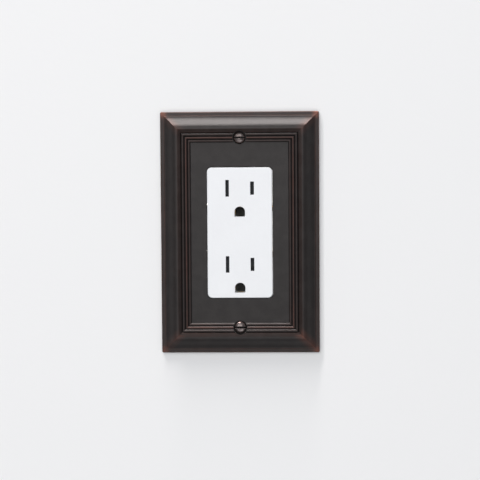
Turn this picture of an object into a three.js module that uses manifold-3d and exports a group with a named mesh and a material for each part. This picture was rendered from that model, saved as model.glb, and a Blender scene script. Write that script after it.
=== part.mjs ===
// A moulded single-gang wall plate over a duplex receptacle, piece by piece.
// Millimetres. +X is to the right and +Z up as one faces the plate; the wall is the plane y = 0,
// the room is on the -Y side, and what sits inside the wall box is on the +Y side.

import * as THREE from 'three';
import { mergeVertices } from 'three/addons/utils/BufferGeometryUtils.js';
import Module from 'manifold-3d';

const wasm = await Module();
wasm.setup();

// ---- Driving dimensions --------------------------------------------------------------------

const GAP = 0.3;                      // room left between pieces that touch

// Wall plate. A height is measured from the wall towards the room, an inset from the outer edge.
const PLATE_WIDTH = 81.2;
const PLATE_HEIGHT = 123.6;
const PANEL_HEIGHT = 5;               // front of the flat panel
const PANEL_BACK_HEIGHT = 3.3;
const PANEL_INSET = 20;               // where the swept border hands over to the flat panel
const WINDOW_WIDTH = 33.5;
const WINDOW_HEIGHT = 67;
const WINDOW_CORNER = 2.5;
const PLATE_SCREW_SPACING = 96.84;    // 3-13/16 in
const COUNTERBORE_RADIUS = 3.6;
const COUNTERBORE_FLOOR_HEIGHT = 4.5;
const COLLAR = { radius: 5, height: 3.2 };    // thickening behind each plate screw
const BOSS_RADIUS = 3.4;              // stands on the strap, clear of the mounting screw

// Receptacle face
const FACE_WIDTH = 33;
const FACE_HEIGHT = 66.5;
const FACE_CORNER = 2.3;
const FACE_FRONT_HEIGHT = 5.3;
const FACE_THICKNESS = 2.5;
const FACE_WALL = 1.8;
const FACE_SKIRT_BACK = 2.7;          // y of the skirt's rear edge
const BLADE_SPACING = 12.7;           // 1/2 in between the two blades of a plug
const BLADE_LINES = [22.7, -16.2];    // z of the blade slots of the two outlets
const GROUND_DROP = 11.9;             // from a blade line down to its ground hole
const NEUTRAL_SLOT = [1.8, 8.5];
const HOT_SLOT = [1.9, 6.75];
const GROUND_HOLE = [5.4, 5.2];       // width and height, round at the top and flat below

// Shutters
const SHUTTER_TRAVEL = 2.9;
const SHUTTER_FRONT = -2.5;           // y
const SHUTTER_BACK = 0.6;
const SHUTTER_LEFT = -11.6;
const SHUTTER_RIGHT = 9.4;
const SHUTTER_HALF_HEIGHT = 4.95;

// Strap
const STRAP_THICKNESS = 1.2;
const STRAP_HALF_LENGTH = 53.2;
const STRAP_BRIDGE_FRONT = 3;         // y of the recessed middle part's front
const STRAP_STEP = 35.3;              // z where the strap steps back into the housing
const MOUNTING_SPACING = 83.34;       // 3-9/32 in

// Rear housing
const BODY_WIDTH = 32.8;
const BODY_HEIGHT = 70;
const BODY_FRONT = 3;
const BODY_BACK = 25;
const BODY_WALL = 1.6;
const HOUSING_SCREW_PLACES = [[12.4, 30.6], [-12.4, 30.6], [12.4, -30.6], [-12.4, -30.6]];

// Terminals
const SCREW_RADIUS = 1.75;            // No. 6 screw, 0.1380 in over its threads
const SCREW_HOLE_RADIUS = SCREW_RADIUS + GAP;
const TERMINAL_Z = [12, -12];
const TERMINAL_Y = 9.6;
const TERMINAL_OUTER = 16.4;          // x of a terminal land's outer face
const TERMINAL_THICKNESS = 0.8;
const CLAMP_INNER = 11.8;             // x of a pressure plate's inner face, fully open
const CLAMP_THICKNESS = 1.2;
const WIRE_HOLE_X = 14.3;

// ---- Materials -----------------------------------------------------------------------------

function finish(color, roughness, metalness) {
  return new THREE.MeshStandardMaterial({ color, roughness, metalness });
}

const finishes = {
  bronze: () => finish(0x3b3734, 0.45, 0.8),
  bronzeScrew: () => finish(0x5a5048, 0.4, 0.9),
  whitePlastic: () => finish(0xeeeff2, 0.35, 0),
  greyPlastic: () => finish(0x46484a, 0.5, 0),
  bodyPlastic: () => finish(0xe2e3e4, 0.5, 0),
  zincSteel: () => finish(0xb9bcc0, 0.4, 1),
  brass: () => finish(0xc9a557, 0.35, 1),
  nickel: () => finish(0xc8c9c6, 0.3, 1),
  greenSteel: () => finish(0x2f7a44, 0.4, 0.7),
  springSteel: () => finish(0x9a9da1, 0.3, 1),
  fibre: () => finish(0xb7a283, 0.9, 0),
};

// ---- Solids --------------------------------------------------------------------------------

function solidOf(geometry) {
  geometry.deleteAttribute('normal');
  geometry.deleteAttribute('uv');
  const merged = mergeVertices(geometry, 1e-4);
  const vertProperties = merged.attributes.position.array;
  const triVerts = Uint32Array.from(merged.index.array);
  return new wasm.Manifold(new wasm.Mesh({ numProp: 3, vertProperties, triVerts }));
}

function geometryOf(solid) {
  const { vertProperties, triVerts } = solid.getMesh();
  const geometry = new THREE.BufferGeometry();
  geometry.setAttribute('position', new THREE.BufferAttribute(vertProperties, 3));
  geometry.setIndex(new THREE.BufferAttribute(triVerts, 1));
  geometry.computeVertexNormals();
  return geometry;
}

function joined(solids) {
  return solids.reduce((whole, solid) => whole.add(solid));
}

function cut(solid, tools) {
  return tools.reduce((rest, tool) => rest.subtract(tool), solid);
}

// A box from one corner to the other, each given as [x, y, z].
function block(low, high) {
  const size = high.map((value, axis) => value - low[axis]);
  const geometry = new THREE.BoxGeometry(...size);
  geometry.translate(...high.map((value, axis) => (value + low[axis]) / 2));
  return solidOf(geometry);
}

// The same box on the right (side 1) or mirrored to the left (side -1).
function sideBlock(side, [xInner, yLow, zLow], [xOuter, yHigh, zHigh]) {
  const [xLow, xHigh] = side > 0 ? [xInner, xOuter] : [-xOuter, -xInner];
  return block([xLow, yLow, zLow], [xHigh, yHigh, zHigh]);
}

// An outline drawn in x and z, as thick as from yFront to yBack.
function slab(outline, yFront, yBack, curveSegments = 5) {
  const depth = yBack - yFront;
  const geometry = new THREE.ExtrudeGeometry(outline, { depth, bevelEnabled: false, curveSegments });
  geometry.rotateX(Math.PI / 2);
  geometry.translate(0, yBack, 0);
  return solidOf(geometry);
}

function disc(x, z, radius, yFront, yBack, sides = 16) {
  const geometry = new THREE.CylinderGeometry(radius, radius, yBack - yFront, sides);
  geometry.translate(x, (yFront + yBack) / 2, z);
  return solidOf(geometry);
}

// A round bar along x.
function bar(y, z, radius, xLow, xHigh, sides = 16) {
  const geometry = new THREE.CylinderGeometry(radius, radius, xHigh - xLow, sides);
  geometry.rotateZ(Math.PI / 2);
  geometry.translate((xLow + xHigh) / 2, y, z);
  return solidOf(geometry);
}

function roundedRectangle(width, height, radius, z = 0) {
  const shape = new THREE.Shape();
  const x = width / 2 - radius;
  const up = height / 2 - radius;
  shape.absarc(x, z + up, radius, 0, Math.PI / 2);
  shape.absarc(-x, z + up, radius, Math.PI / 2, Math.PI);
  shape.absarc(-x, z - up, radius, Math.PI, 1.5 * Math.PI);
  shape.absarc(x, z - up, radius, 1.5 * Math.PI, 2 * Math.PI);
  shape.closePath();
  return shape;
}

function rectangle(xLow, xHigh, zLow, zHigh) {
  return new THREE.Shape([
    new THREE.Vector2(xLow, zLow),
    new THREE.Vector2(xHigh, zLow),
    new THREE.Vector2(xHigh, zHigh),
    new THREE.Vector2(xLow, zHigh),
  ]);
}

// A turned solid from [radius, height] points, its axis along the room direction (-Y).
function turned(profile, x, z, sides = 16) {
  const points = profile.map(([radius, height]) => new THREE.Vector2(radius, height));
  const geometry = new THREE.LatheGeometry(points, sides);
  geometry.rotateX(Math.PI);
  geometry.translate(x, 0, z);
  return solidOf(geometry);
}

const assembly = new THREE.Group();

function place(name, solid, material) {
  const mesh = new THREE.Mesh(geometryOf(solid), material);
  mesh.name = name;
  assembly.add(mesh);
}

// ---- Wall plate ----------------------------------------------------------------------------

const LIP = [[0, 0], [0, 1.3], [0.25, 1.75], [0.6, 1.9], [1.9, 2], [2.15, 2.25], [2.35, 2.6]];
const OGEE = { from: [2.6, 2.65], to: [8.9, 6.6], steps: 9 };
const CREST_END = [10.7, 6.6];
const BEADS = { count: 3, from: [11, 6], to: [15.8, PANEL_HEIGHT], rise: 0.65 };
const BEAD_STEPS = [0, 0.16, 0.5, 0.84];
const BACK = [[PANEL_INSET, PANEL_BACK_HEIGHT], [16.6, PANEL_BACK_HEIGHT], [11, 4.4], [8.6, 4.6],
  [5, 2.6], [3, 0.6], [2.4, 0]];

// The border's section: lip, S-curve, crest, three beads and panel, then back along the inside.
function borderSection() {
  const section = [...LIP];
  for (let step = 0; step <= OGEE.steps; step += 1) {
    const t = step / OGEE.steps;
    const inset = THREE.MathUtils.lerp(OGEE.from[0], OGEE.to[0], t);
    const height = THREE.MathUtils.lerp(OGEE.from[1], OGEE.to[1], t * t * (3 - 2 * t));
    section.push([inset, height]);
  }
  section.push(CREST_END);
  for (let bead = 0; bead < BEADS.count; bead += 1) {
    for (const within of BEAD_STEPS) {
      const t = (bead + within) / BEADS.count;
      const inset = THREE.MathUtils.lerp(BEADS.from[0], BEADS.to[0], t);
      const base = THREE.MathUtils.lerp(BEADS.from[1], BEADS.to[1], t);
      section.push([inset, base + BEADS.rise * Math.sin(Math.PI * within)]);
    }
  }
  section.push(BEADS.to, [PANEL_INSET, PANEL_HEIGHT], ...BACK);
  return section;
}

// The section carried round the plate with mitred corners.
function borderRing(section) {
  const corners = [[1, 1], [-1, 1], [-1, -1], [1, -1]];
  const positions = [];
  const index = [];
  for (const [inset, height] of section) {
    for (const [right, up] of corners) {
      positions.push(right * (PLATE_WIDTH / 2 - inset), -height, up * (PLATE_HEIGHT / 2 - inset));
    }
  }
  for (let i = 0; i < section.length; i += 1) {
    const next = (i + 1) % section.length;
    for (let c = 0; c < 4; c += 1) {
      const d = (c + 1) % 4;
      index.push(4 * i + c, 4 * i + d, 4 * next + d);
      index.push(4 * i + c, 4 * next + d, 4 * next + c);
    }
  }
  const geometry = new THREE.BufferGeometry();
  geometry.setAttribute('position', new THREE.Float32BufferAttribute(positions, 3));
  geometry.setIndex(index);
  return solidOf(geometry);
}

function makeWallPlate() {
  const overlap = 1;
  const halfWidth = PLATE_WIDTH / 2 - PANEL_INSET + overlap;
  const halfHeight = PLATE_HEIGHT / 2 - PANEL_INSET + overlap;
  const panelOutline = rectangle(-halfWidth, halfWidth, -halfHeight, halfHeight);
  panelOutline.holes.push(roundedRectangle(WINDOW_WIDTH, WINDOW_HEIGHT, WINDOW_CORNER));
  const panel = slab(panelOutline, -PANEL_HEIGHT, -PANEL_BACK_HEIGHT);
  const screwPlaces = [PLATE_SCREW_SPACING / 2, -PLATE_SCREW_SPACING / 2];
  const bossBack = -STRAP_THICKNESS - GAP;
  const bosses = screwPlaces.flatMap((z) => [
    disc(0, z, COLLAR.radius, -4.4, -COLLAR.height, 20),
    disc(0, z, BOSS_RADIUS, -4.4, bossBack, 20),
  ]);
  const sinks = screwPlaces.map((z) => turned([
    [0, 1], [SCREW_HOLE_RADIUS, 1], [SCREW_HOLE_RADIUS, 3.15], [3.25, COUNTERBORE_FLOOR_HEIGHT],
    [COUNTERBORE_RADIUS, COUNTERBORE_FLOOR_HEIGHT], [COUNTERBORE_RADIUS, 8], [0, 8],
  ], 0, z, 20));
  return cut(joined([borderRing(borderSection()), panel, ...bosses]), sinks);
}

place('wall_plate', makeWallPlate(), finishes.bronze());

// ---- Screws that point into the wall -------------------------------------------------------

const SLOT_WIDTH = 1;

// A slotted screw on the y axis, from its [radius, height] outline and its head's top height.
function slottedScrew(profile, x, z, top, slotDepth) {
  const slot = block([x - 6, -top - 1, z - SLOT_WIDTH / 2], [x + 6, -top + slotDepth, z + SLOT_WIDTH / 2]);
  return turned(profile, x, z).subtract(slot);
}

const PLATE_SCREW = {
  tip: -7, headLow: 3.15, rim: 4.45, rimTop: 4.75, top: 6.2, headRadius: 2.9, slotDepth: 1.1,
};

function plateScrewProfile() {
  const { tip, headLow, rim, rimTop, top, headRadius } = PLATE_SCREW;
  const dome = [0.75, 0.5, 0.25].map((share) => {
    const lift = Math.sqrt(1 - share * share);
    return [headRadius * share, rimTop + (top - rimTop) * lift];
  });
  return [[0, tip], [1.3, tip], [SCREW_RADIUS, tip + 0.6], [SCREW_RADIUS, headLow], [headRadius, rim],
    [headRadius, rimTop], ...dome, [0, top]];
}

const MOUNTING_SCREW = { tip: -22, seat: STRAP_THICKNESS + GAP, top: 2.9, headRadius: 3, slotDepth: 0.8 };

function mountingScrewProfile() {
  const { tip, seat, top, headRadius } = MOUNTING_SCREW;
  return [[0, tip], [1.2, tip], [SCREW_RADIUS, tip + 0.8], [SCREW_RADIUS, seat], [headRadius, seat],
    [headRadius, seat + 0.5], [headRadius * 0.7, top - 0.2], [0, top]];
}

for (const [where, up] of [['top', 1], ['bottom', -1]]) {
  const plateZ = up * PLATE_SCREW_SPACING / 2;
  const mountingZ = up * MOUNTING_SPACING / 2;
  place(`plate_screw_${where}`,
    slottedScrew(plateScrewProfile(), 0, plateZ, PLATE_SCREW.top, PLATE_SCREW.slotDepth),
    finishes.bronzeScrew());
  place(`mounting_screw_${where}`,
    slottedScrew(mountingScrewProfile(), 0, mountingZ, MOUNTING_SCREW.top, MOUNTING_SCREW.slotDepth),
    finishes.zincSteel());
  const washerOutline = roundedRectangle(9, 9, 1, mountingZ);
  const washer = slab(washerOutline, GAP, GAP + 0.8, 2);
  place(`screw_washer_${where}`,
    washer.subtract(disc(0, mountingZ, SCREW_HOLE_RADIUS, 0, 2)), finishes.fibre());
}

// ---- Face cover ----------------------------------------------------------------------------

function slotOutline(x, z, [width, height]) {
  return rectangle(x - width / 2, x + width / 2, z - height / 2, z + height / 2);
}

// Round at the top, flat at the bottom.
function groundOutline(z, [width, height], grow = 0) {
  const radius = width / 2 + grow;
  const low = z - height / 2 - grow;
  const shape = new THREE.Shape();
  shape.moveTo(-radius, low);
  shape.lineTo(radius, low);
  shape.absarc(0, z + height / 2 - width / 2, radius, 0, Math.PI);
  shape.closePath();
  return shape;
}

const DOME_SEGMENTS = 10;
const POST_RADIUS = 2.5;
const HOUSING_SCREW_HOLE_RADIUS = 1.4;
const FACE_CAVITY_FRONT = -FACE_FRONT_HEIGHT + FACE_THICKNESS;

function makeFaceCover() {
  const inside = roundedRectangle(FACE_WIDTH - 2 * FACE_WALL, FACE_HEIGHT - 2 * FACE_WALL, 1);
  const shell = slab(roundedRectangle(FACE_WIDTH, FACE_HEIGHT, FACE_CORNER), -FACE_FRONT_HEIGHT,
    FACE_SKIRT_BACK).subtract(slab(inside, FACE_CAVITY_FRONT, FACE_SKIRT_BACK + 1));
  const root = FACE_CAVITY_FRONT - 0.5;
  const posts = HOUSING_SCREW_PLACES.map(([x, z]) => disc(x, z, POST_RADIUS, root, FACE_SKIRT_BACK));
  const screwHoles = HOUSING_SCREW_PLACES.map(([x, z]) => disc(x, z, HOUSING_SCREW_HOLE_RADIUS, -1.4,
    FACE_SKIRT_BACK + 1, 12));
  const sleeves = [];
  const stops = [];
  const ribs = [];
  const openings = [];
  for (const z of BLADE_LINES) {
    const groundZ = z - GROUND_DROP;
    sleeves.push(slab(groundOutline(groundZ, GROUND_HOLE, 1), root, SHUTTER_BACK, DOME_SEGMENTS));
    stops.push(block([-FACE_WIDTH / 2 + FACE_WALL - 0.5, root, z - 3],
      [SHUTTER_LEFT - GAP, SHUTTER_BACK, z + 3]));
    for (const side of [1, -1]) {
      const edge = z + side * (SHUTTER_HALF_HEIGHT + GAP);
      const [zLow, zHigh] = side > 0 ? [edge, edge + 0.8] : [edge - 0.8, edge];
      ribs.push(block([-9, root, zLow], [9, SHUTTER_BACK, zHigh]));
    }
    const front = -FACE_FRONT_HEIGHT - 1;
    openings.push(slab(slotOutline(-BLADE_SPACING / 2, z, NEUTRAL_SLOT), front, 0));
    openings.push(slab(slotOutline(BLADE_SPACING / 2, z, HOT_SLOT), front, 0));
    openings.push(slab(groundOutline(groundZ, GROUND_HOLE), front, SHUTTER_BACK + 1, DOME_SEGMENTS));
  }
  return cut(joined([shell, ...posts, ...sleeves, ...stops, ...ribs]), [...screwHoles, ...openings]);
}

place('face_cover', makeFaceCover(), finishes.whitePlastic());

// ---- Shutters, their springs and the plate that keeps them ----------------------------------

const SHUTTER_WINDOW = [2.5, 9.3];
const SPRING_Y = -0.9;
const SPRING = { radius: 1.15, wire: 0.15, turns: 4.5, start: SHUTTER_RIGHT + GAP, end: 14.4 };

// Two windows wait beside the slots; a ramp under each slot turns a blade's push into the slide.
function makeShutter(z) {
  let shutter = block([SHUTTER_LEFT, SHUTTER_FRONT, z - SHUTTER_HALF_HEIGHT],
    [SHUTTER_RIGHT, SHUTTER_BACK, z + SHUTTER_HALF_HEIGHT]);
  for (const slotX of [-BLADE_SPACING / 2, BLADE_SPACING / 2]) {
    const windowX = slotX - SHUTTER_TRAVEL;
    const opening = slab(slotOutline(windowX, z, SHUTTER_WINDOW), SHUTTER_FRONT - 1, SHUTTER_BACK + 1);
    const ramp = new THREE.ExtrudeGeometry(new THREE.Shape([
      new THREE.Vector2(windowX, SHUTTER_FRONT - 1),
      new THREE.Vector2(slotX + 1.4, SHUTTER_FRONT - 1),
      new THREE.Vector2(slotX + 1.4, SHUTTER_FRONT + 0.2),
      new THREE.Vector2(windowX, SHUTTER_FRONT + 2.2),
    ]), { depth: SHUTTER_WINDOW[1], bevelEnabled: false });
    ramp.translate(0, 0, z - SHUTTER_WINDOW[1] / 2);
    shutter = cut(shutter, [opening, solidOf(ramp)]);
  }
  return shutter.add(bar(SPRING_Y, z, 0.6, SHUTTER_RIGHT - 0.5, SHUTTER_RIGHT + 1.6, 10));
}

class SpringPath extends THREE.Curve {
  constructor(z) {
    super();
    this.z = z;
  }

  getPoint(t, target = new THREE.Vector3()) {
    const angle = 2 * Math.PI * SPRING.turns * t;
    const x = THREE.MathUtils.lerp(SPRING.start + SPRING.wire, SPRING.end - SPRING.wire, t);
    return target.set(x, SPRING_Y + SPRING.radius * Math.cos(angle), this.z + SPRING.radius * Math.sin(angle));
  }
}

function makeSpring(z) {
  const wire = new THREE.Shape();
  wire.absarc(0, 0, SPRING.wire, 0, 2 * Math.PI);
  const settings = { extrudePath: new SpringPath(z), steps: 45, curveSegments: 3, bevelEnabled: false };
  return solidOf(new THREE.ExtrudeGeometry(wire, settings));
}

const RETAINER_FRONT = SHUTTER_BACK + GAP;
const RETAINER_BACK = 1.7;

function makeRetainer() {
  const outline = roundedRectangle(FACE_WIDTH - 2 * FACE_WALL - 2 * GAP,
    FACE_HEIGHT - 2 * FACE_WALL - 2 * GAP, 1);
  const openings = HOUSING_SCREW_PLACES.map(([x, z]) => disc(x, z, POST_RADIUS + GAP, 0, 3));
  for (const z of BLADE_LINES) {
    for (const side of [1, -1]) {
      openings.push(slab(slotOutline(side * BLADE_SPACING / 2, z, [3, 10]), 0, 3));
    }
    openings.push(disc(0, z - GROUND_DROP, 3.2, 0, 3));
  }
  return cut(slab(outline, RETAINER_FRONT, RETAINER_BACK), openings);
}

for (const [where, z] of [['upper', BLADE_LINES[0]], ['lower', BLADE_LINES[1]]]) {
  place(`shutter_${where}`, makeShutter(z), finishes.greyPlastic());
  place(`shutter_spring_${where}`, makeSpring(z), finishes.springSteel());
}
place('shutter_retainer', makeRetainer(), finishes.bodyPlastic());

// ---- Mounting strap ------------------------------------------------------------------------

const BRIDGE_BACK = STRAP_BRIDGE_FRONT + STRAP_THICKNESS;
const RIVET_PLACES = [0, -20];
const RIVET_RADIUS = 1.2;
const LUG = { outer: -10.2, inner: -9, depth: 11, low: -46, high: -38, y: 5.5, z: -42 };

// One end of the strap, from the step out to the plaster ears.
function strapEnd(up) {
  const half = [[9, STRAP_STEP], [9.2, 44], [13.5, 46], [13.5, 51.5], [12, STRAP_HALF_LENGTH]];
  const outline = [...half, ...half.map(([x, z]) => [-x, z]).reverse()];
  const shape = new THREE.Shape(outline.map(([x, z]) => new THREE.Vector2(x, up * z)));
  const mountingZ = up * MOUNTING_SPACING / 2;
  const slot = roundedRectangle(7.2, 2 * SCREW_HOLE_RADIUS, SCREW_HOLE_RADIUS - 0.01, mountingZ);
  const plate = cut(slab(shape, -STRAP_THICKNESS, 0), [
    slab(slot, -3, 2),
    disc(0, up * PLATE_SCREW_SPACING / 2, SCREW_HOLE_RADIUS, -3, 2),
    ...[1, -1].map((side) => disc(side * 10.8, up * 49, 1.5, -3, 2, 12)),
  ]);
  const riserEnds = [up * STRAP_STEP, up * (STRAP_STEP + STRAP_THICKNESS)];
  const riser = block([-7, -STRAP_THICKNESS, Math.min(...riserEnds)], [7, BRIDGE_BACK, Math.max(...riserEnds)]);
  return plate.add(riser);
}

// The recessed middle: narrow between the blade slots, wider round the two ground holes.
function strapBridge() {
  const end = STRAP_STEP + STRAP_THICKNESS;
  const spine = rectangle(-3.6, 3.6, -end, end);
  const parts = [slab(spine, STRAP_BRIDGE_FRONT, BRIDGE_BACK)];
  for (const up of [1, -1]) {
    const [zLow, zHigh] = up > 0 ? [31, end] : [-end, -31];
    parts.push(slab(rectangle(-7, 7, zLow, zHigh), STRAP_BRIDGE_FRONT, BRIDGE_BACK));
  }
  const holes = RIVET_PLACES.map((z) => disc(0, z, RIVET_RADIUS + GAP, 2, 6, 12));
  for (const z of BLADE_LINES) {
    parts.push(disc(0, z - GROUND_DROP, 5.6, STRAP_BRIDGE_FRONT, BRIDGE_BACK, 20));
    holes.push(disc(0, z - GROUND_DROP, 3.2, 2, 6, 16));
  }
  return cut(joined(parts), holes);
}

function makeStrap() {
  const lug = block([LUG.outer, -STRAP_THICKNESS, LUG.low], [LUG.inner, LUG.depth, LUG.high]);
  const lugHole = bar(LUG.y, LUG.z, SCREW_HOLE_RADIUS, LUG.outer - 1, LUG.inner + 1);
  const lugRoot = block([LUG.outer, -STRAP_THICKNESS, LUG.low], [LUG.inner + 1, 0, LUG.high]);
  return joined([strapEnd(1), strapEnd(-1), strapBridge(), lugRoot, lug.subtract(lugHole)]);
}

place('mounting_strap', makeStrap(), finishes.zincSteel());

// ---- Ground contacts -----------------------------------------------------------------------

const GROUND_STRIP_FRONT = BRIDGE_BACK + GAP;
const GROUND_STRIP_BACK = GROUND_STRIP_FRONT + 0.8;
const GROUND_STRIP_HALF_WIDTH = 3.35;

function makeGroundStrip() {
  const [upperGround, lowerGround] = BLADE_LINES.map((z) => z - GROUND_DROP);
  const spine = rectangle(-GROUND_STRIP_HALF_WIDTH, GROUND_STRIP_HALF_WIDTH, lowerGround - 3.6,
    upperGround + 3.6);
  const parts = [slab(spine, GROUND_STRIP_FRONT, GROUND_STRIP_BACK)];
  for (const z of [upperGround, lowerGround]) {
    for (const side of [1, -1]) {
      parts.push(sideBlock(side, [2.65, GROUND_STRIP_FRONT, z - 2.2],
        [GROUND_STRIP_HALF_WIDTH, 14, z + 2.2]));
    }
  }
  const holes = RIVET_PLACES.map((z) => disc(0, z, RIVET_RADIUS + GAP, 4, 6, 12));
  holes.push(...[upperGround, lowerGround].map((z) => block([-2.65, 4, z - 2.8], [2.65, 6, z + 2.2])));
  return cut(joined(parts), holes);
}

function makeRivet(z) {
  const headRadius = 2.2;
  return joined([
    disc(0, z, RIVET_RADIUS, 2.2, GROUND_STRIP_BACK + 1, 12),
    disc(0, z, headRadius, 2, STRAP_BRIDGE_FRONT - GAP, 14),
    disc(0, z, headRadius, GROUND_STRIP_BACK + GAP, GROUND_STRIP_BACK + 1.1, 14),
  ]);
}

place('ground_contact_strip', makeGroundStrip(), finishes.brass());
place('ground_rivet_upper', makeRivet(RIVET_PLACES[0]), finishes.brass());
place('ground_rivet_lower', makeRivet(RIVET_PLACES[1]), finishes.brass());

// The ground screw turns in the strap's lug, its hex head outwards.
function makeGroundScrew() {
  const headInner = LUG.outer - GAP;
  const headOuter = headInner - 2.2;
  const flange = bar(LUG.y, LUG.z, 4.2, headInner - 0.7, headInner, 18);
  const hex = bar(LUG.y, LUG.z, 3.67, headOuter, headInner - 0.3, 6);
  const shank = bar(LUG.y, LUG.z, SCREW_RADIUS, headInner - 0.3, -5.2);
  const slot = block([headOuter - 1, LUG.y - SLOT_WIDTH / 2, LUG.z - 5],
    [headOuter + 1, LUG.y + SLOT_WIDTH / 2, LUG.z + 5]);
  return joined([flange, hex, shank]).subtract(slot);
}

place('ground_screw', makeGroundScrew(), finishes.greenSteel());

// ---- Hot and neutral contacts with their terminals -------------------------------------------

const LAND_FRONT = 5.5;
const LAND_BACK = 15.5;
const ARM_FRONT = 13.6;
const BLADE_GAP = 1.9;                // room for a blade between the two leaves of a socket
const LEAF_THICKNESS = 0.6;
const TAB_HALF_HEIGHT = 2.5;

function makeContactStrip(side, leafHalfHeight) {
  const inner = TERMINAL_OUTER - TERMINAL_THICKNESS;
  const parts = [sideBlock(side, [inner, 9, -TAB_HALF_HEIGHT - 0.5],
    [TERMINAL_OUTER, 12, TAB_HALF_HEIGHT + 0.5])];
  const landEnds = [[TAB_HALF_HEIGHT, 26.4], [-20.2, -TAB_HALF_HEIGHT]];
  landEnds.forEach(([zLow, zHigh], outlet) => {
    const z = BLADE_LINES[outlet];
    const leafCentre = BLADE_SPACING / 2;
    parts.push(sideBlock(side, [inner, LAND_FRONT, zLow], [TERMINAL_OUTER, LAND_BACK, zHigh]));
    parts.push(sideBlock(side, [leafCentre - BLADE_GAP / 2 - LEAF_THICKNESS, ARM_FRONT, z - 3],
      [TERMINAL_OUTER - 0.1, ARM_FRONT + TERMINAL_THICKNESS, z + 3]));
    for (const edge of [leafCentre - BLADE_GAP / 2 - LEAF_THICKNESS, leafCentre + BLADE_GAP / 2]) {
      parts.push(sideBlock(side, [edge, 5.2, z - leafHalfHeight],
        [edge + LEAF_THICKNESS, ARM_FRONT + TERMINAL_THICKNESS, z + leafHalfHeight]));
    }
  });
  const holes = TERMINAL_Z.map((z) => (side > 0
    ? bar(TERMINAL_Y, z, SCREW_HOLE_RADIUS, inner - 1, TERMINAL_OUTER + 1)
    : bar(TERMINAL_Y, z, SCREW_HOLE_RADIUS, -TERMINAL_OUTER - 1, -inner + 1)));
  return cut(joined(parts), holes);
}

function makeTerminalScrew(side, z) {
  const headInner = TERMINAL_OUTER + GAP;
  const headOuter = headInner + 2;
  const ends = (from, to) => (side > 0 ? [from, to] : [-to, -from]);
  const shank = bar(TERMINAL_Y, z, SCREW_RADIUS, ...ends(9.3, headInner + 0.5));
  const head = bar(TERMINAL_Y, z, 3.4, ...ends(headInner, headOuter), 20);
  const slot = sideBlock(side, [headOuter - 1.1, TERMINAL_Y - SLOT_WIDTH / 2, z - 5],
    [headOuter + 1, TERMINAL_Y + SLOT_WIDTH / 2, z + 5]);
  return shank.add(head).subtract(slot);
}

function makeClamp(side, z) {
  const plate = sideBlock(side, [CLAMP_INNER, 5.9, z - 4.5],
    [CLAMP_INNER + CLAMP_THICKNESS, 13.3, z + 4.5]);
  return plate.subtract(bar(TERMINAL_Y, z, SCREW_HOLE_RADIUS, -20, 20));
}

const poles = [
  { pole: 'hot', side: 1, leafHalfHeight: 3.3, metal: finishes.brass },
  { pole: 'neutral', side: -1, leafHalfHeight: 4, metal: finishes.nickel },
];
for (const { pole, side, leafHalfHeight, metal } of poles) {
  place(`${pole}_contact_strip`, makeContactStrip(side, leafHalfHeight), metal());
  for (const [where, z] of [['upper', TERMINAL_Z[0]], ['lower', TERMINAL_Z[1]]]) {
    place(`${pole}_screw_${where}`, makeTerminalScrew(side, z), metal());
    place(`${pole}_clamp_${where}`, makeClamp(side, z), metal());
  }
}

// ---- Rear housing --------------------------------------------------------------------------

const BODY_FLOOR = BODY_BACK - BODY_WALL;
const BODY_POST_RADIUS = 3;
const HOUSING_SCREW = { radius: 1.1, headRadius: 2.1, headFront: 23.7, tip: -1 };

function makeBackBody() {
  const inside = roundedRectangle(BODY_WIDTH - 2 * BODY_WALL, BODY_HEIGHT - 2 * BODY_WALL, 1);
  const shell = slab(roundedRectangle(BODY_WIDTH, BODY_HEIGHT, 2), BODY_FRONT, BODY_BACK)
    .subtract(slab(inside, BODY_FRONT - 1, BODY_FLOOR));
  const innerEnd = BODY_HEIGHT / 2 - BODY_WALL + 0.2;
  const ribFront = GROUND_STRIP_BACK + GAP;
  const partitions = [1, -1].map((side) => sideBlock(side,
    [GROUND_STRIP_HALF_WIDTH + GAP, ribFront, -innerEnd], [4.4, BODY_FLOOR + 0.5, innerEnd]));
  const posts = HOUSING_SCREW_PLACES.map(([x, z]) => disc(x, z, BODY_POST_RADIUS, BODY_FRONT, BODY_FLOOR + 0.5));
  const cuts = [];
  for (const [x, z] of HOUSING_SCREW_PLACES) {
    cuts.push(disc(x, z, HOUSING_SCREW_HOLE_RADIUS, 0, BODY_BACK + 1, 12));
    cuts.push(disc(x, z, HOUSING_SCREW.headRadius + GAP, HOUSING_SCREW.headFront - GAP, BODY_BACK + 1));
  }
  for (const up of [1, -1]) {
    const [zLow, zHigh] = up > 0 ? [30, 36] : [-36, -30];
    cuts.push(block([-7 - GAP, 2, zLow], [7 + GAP, BRIDGE_BACK + GAP, zHigh]));
  }
  for (const side of [1, -1]) {
    cuts.push(sideBlock(side, [14.6, LAND_FRONT - GAP, -20.5], [18, LAND_BACK + GAP, 26.7]));
    for (const z of TERMINAL_Z) {
      for (const offset of [-3.3, 3.3]) {
        cuts.push(disc(side * WIRE_HOLE_X, z + offset, 1.3, LAND_BACK, BODY_BACK + 1, 12));
      }
    }
  }
  return cut(joined([shell, ...partitions, ...posts]), cuts);
}

function makeHousingScrew([x, z]) {
  const { radius, headRadius, headFront, tip } = HOUSING_SCREW;
  return disc(x, z, radius, tip, headFront + 0.5, 12).add(disc(x, z, headRadius, headFront, BODY_BACK));
}

place('back_body', makeBackBody(), finishes.bodyPlastic());
const corners = ['upper_right', 'upper_left', 'lower_right', 'lower_left'];
corners.forEach((corner, index) => {
  place(`housing_screw_${corner}`, makeHousingScrew(HOUSING_SCREW_PLACES[index]), finishes.zincSteel());
});

export default assembly;
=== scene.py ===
"""A moulded wall plate over a duplex receptacle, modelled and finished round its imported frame."""

import math

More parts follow.
